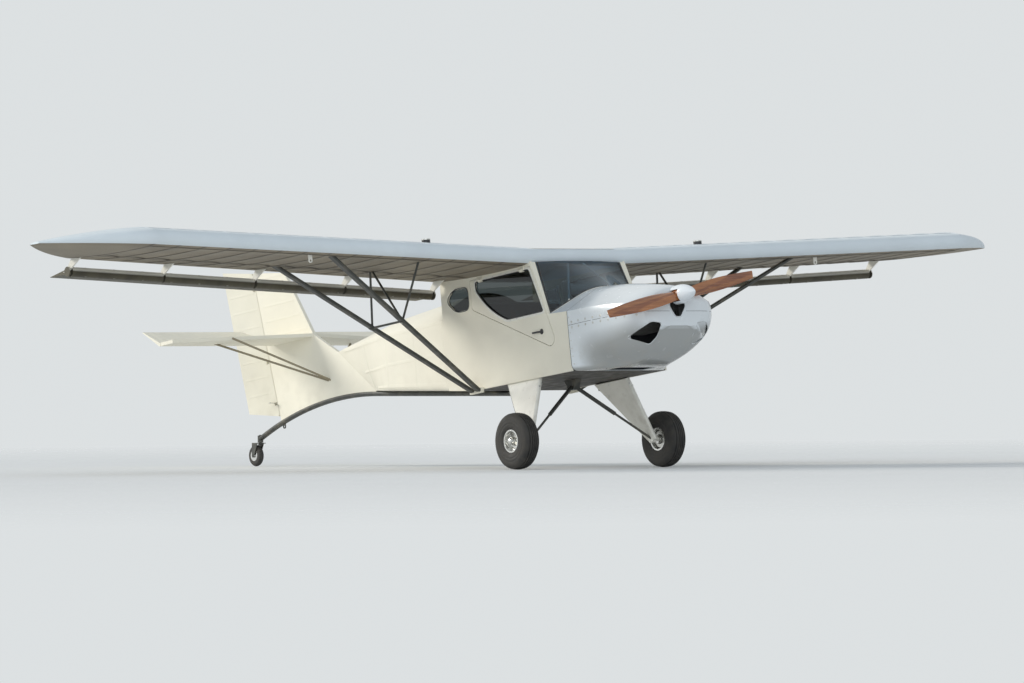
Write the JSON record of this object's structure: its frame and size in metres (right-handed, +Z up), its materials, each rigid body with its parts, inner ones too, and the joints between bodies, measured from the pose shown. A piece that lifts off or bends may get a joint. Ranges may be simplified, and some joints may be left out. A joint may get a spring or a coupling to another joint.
{
  "type": "two-seat high-wing ultralight aircraft",
  "caption": "Strut-braced high-wing taildragger ultralight with hollow cabin, opening doors, hinged control surfaces, wooden propeller and free wheels.",
  "frame": {"origin": "on the floor under the middle of the overall length, on the plane of symmetry, parked on its three wheels", "axes": "+X to the nose, level with the floor, +Y to the pilot's left along the span, +Z up"},
  "size_m": [6.4094, 9.6, 1.9134],
  "materials": {
    "fabric": "doped aircraft fabric, satin white",
    "wing_fabric": "doped aircraft fabric, satin white",
    "cowl_paint": "gloss white gelcoat",
    "white_paint": "gloss white paint",
    "dark_tube": "satin dark paint on steel tube",
    "tan_tube": "satin tan paint on steel tube",
    "glass": "clear acrylic sheet",
    "tyre": "black rubber",
    "rim": "polished aluminium",
    "wood": "varnished laminated wood",
    "spinner": "gloss white",
    "engine": "cast aluminium",
    "seat_cloth": "woven seat cloth",
    "interior": "matt dark grey",
    "cap": "black plastic"
  },
  "bodies": {
    "airframe": {"wing_left": "wing_fabric", "wing_right": "wing_fabric", "wing_fittings_left": "white_paint", "wing_fittings_right": "white_paint", "centre_section": "wing_fabric", "skylight": "glass", "fuel_cap_left": "cap", "fuel_cap_right": "cap", "lift_strut_front_left": "dark_tube", "lift_strut_front_right": "dark_tube", "lift_strut_rear_left": "dark_tube", "lift_strut_rear_right": "dark_tube", "jury_struts_left": "dark_tube", "jury_struts_right": "dark_tube", "cabin_side_left": "fabric", "cabin_side_right": "fabric", "quarter_panes": "glass", "belly_floor": "fabric", "nose_deck": "cowl_paint", "windscreen": "glass", "firewall": "interior", "cowl_upper": "cowl_paint", "cowl_lower": "cowl_paint", "engine_block": "engine", "rear_fuselage": "fabric", "keel_tube": "dark_tube", "fin": "fabric", "tailplane": "fabric", "tail_struts": "tan_tube", "gear_leg_left": "white_paint", "gear_leg_right": "white_paint", "gear_cabane": "dark_tube", "shock_struts": "dark_tube", "seat_bench": "interior", "seat_left": "seat_cloth", "seat_right": "seat_cloth", "instrument_panel": "interior", "control_sticks": "interior"},
    "propeller": {"propeller": "wood", "spinner": "spinner"},
    "wheel_left": {"rim_left": "rim", "tyre_left": "tyre"},
    "wheel_right": {"rim_right": "rim", "tyre_right": "tyre"},
    "tail_fork": {"tail_fork": "dark_tube"},
    "tail_wheel": {"tail_wheel": "tyre"},
    "rudder": {"rudder": "fabric"},
    "elevator": {"elevator": "fabric"},
    "flaperon_left": {"flaperon_left": "wing_fabric"},
    "flaperon_right": {"flaperon_right": "wing_fabric"},
    "door_left": {"door_left": "fabric", "door_pane_left": "glass"},
    "door_right": {"door_right": "fabric", "door_pane_right": "glass"}
  },
  "joints": [
    {"name": "propeller_spin", "type": "hinge", "parent": "airframe", "child": "propeller", "pos_m": [3.02128, 0, 1.37429], "axis": [0.9914, 0, 0.1306], "continuous": true},
    {"name": "wheel_left_spin", "type": "hinge", "parent": "airframe", "child": "wheel_left", "pos_m": [1.85442, 0.742, 0.225], "axis": [0, 1, 0], "continuous": true},
    {"name": "wheel_right_spin", "type": "hinge", "parent": "airframe", "child": "wheel_right", "pos_m": [1.85442, -0.742, 0.225], "axis": [0, 1, 0], "continuous": true},
    {"name": "tail_swivel", "type": "hinge", "parent": "airframe", "child": "tail_fork", "pos_m": [-2.69043, 0, 0.192], "axis": [0, 0, 1], "continuous": true},
    {"name": "tail_wheel_spin", "type": "hinge", "parent": "tail_fork", "child": "tail_wheel", "pos_m": [-2.75243, 0, 0.09], "axis": [0, 1, 0], "continuous": true},
    {"name": "rudder_hinge", "type": "hinge", "parent": "airframe", "child": "rudder", "pos_m": [-2.54394, 0, 0.88808], "axis": [-0.3043, 0, 0.9526], "range_deg": [-25, 25]},
    {"name": "elevator_hinge", "type": "hinge", "parent": "airframe", "child": "elevator", "pos_m": [-2.44773, 0, 1.03087], "axis": [0, 1, 0], "range_deg": [-55, 0]},
    {"name": "flaperon_left_hinge", "type": "hinge", "parent": "airframe", "child": "flaperon_left", "pos_m": [0.4394, 2, 1.47187], "axis": [-0.0068, 0.9986, 0.0516], "range_deg": [-20, 20]},
    {"name": "flaperon_right_hinge", "type": "hinge", "parent": "airframe", "child": "flaperon_right", "pos_m": [0.4394, -2, 1.47187], "axis": [0.0068, 0.9986, -0.0516], "range_deg": [-20, 20]},
    {"name": "door_left_hinge", "type": "hinge", "parent": "airframe", "child": "door_left", "pos_m": [1.32139, 0.489, 1.55274], "axis": [0.9914, 0, 0.1306], "range_deg": [0, 80]},
    {"name": "door_right_hinge", "type": "hinge", "parent": "airframe", "child": "door_right", "pos_m": [1.32139, -0.489, 1.55274], "axis": [-0.9914, 0, -0.1306], "range_deg": [0, 80]}
  ]
}
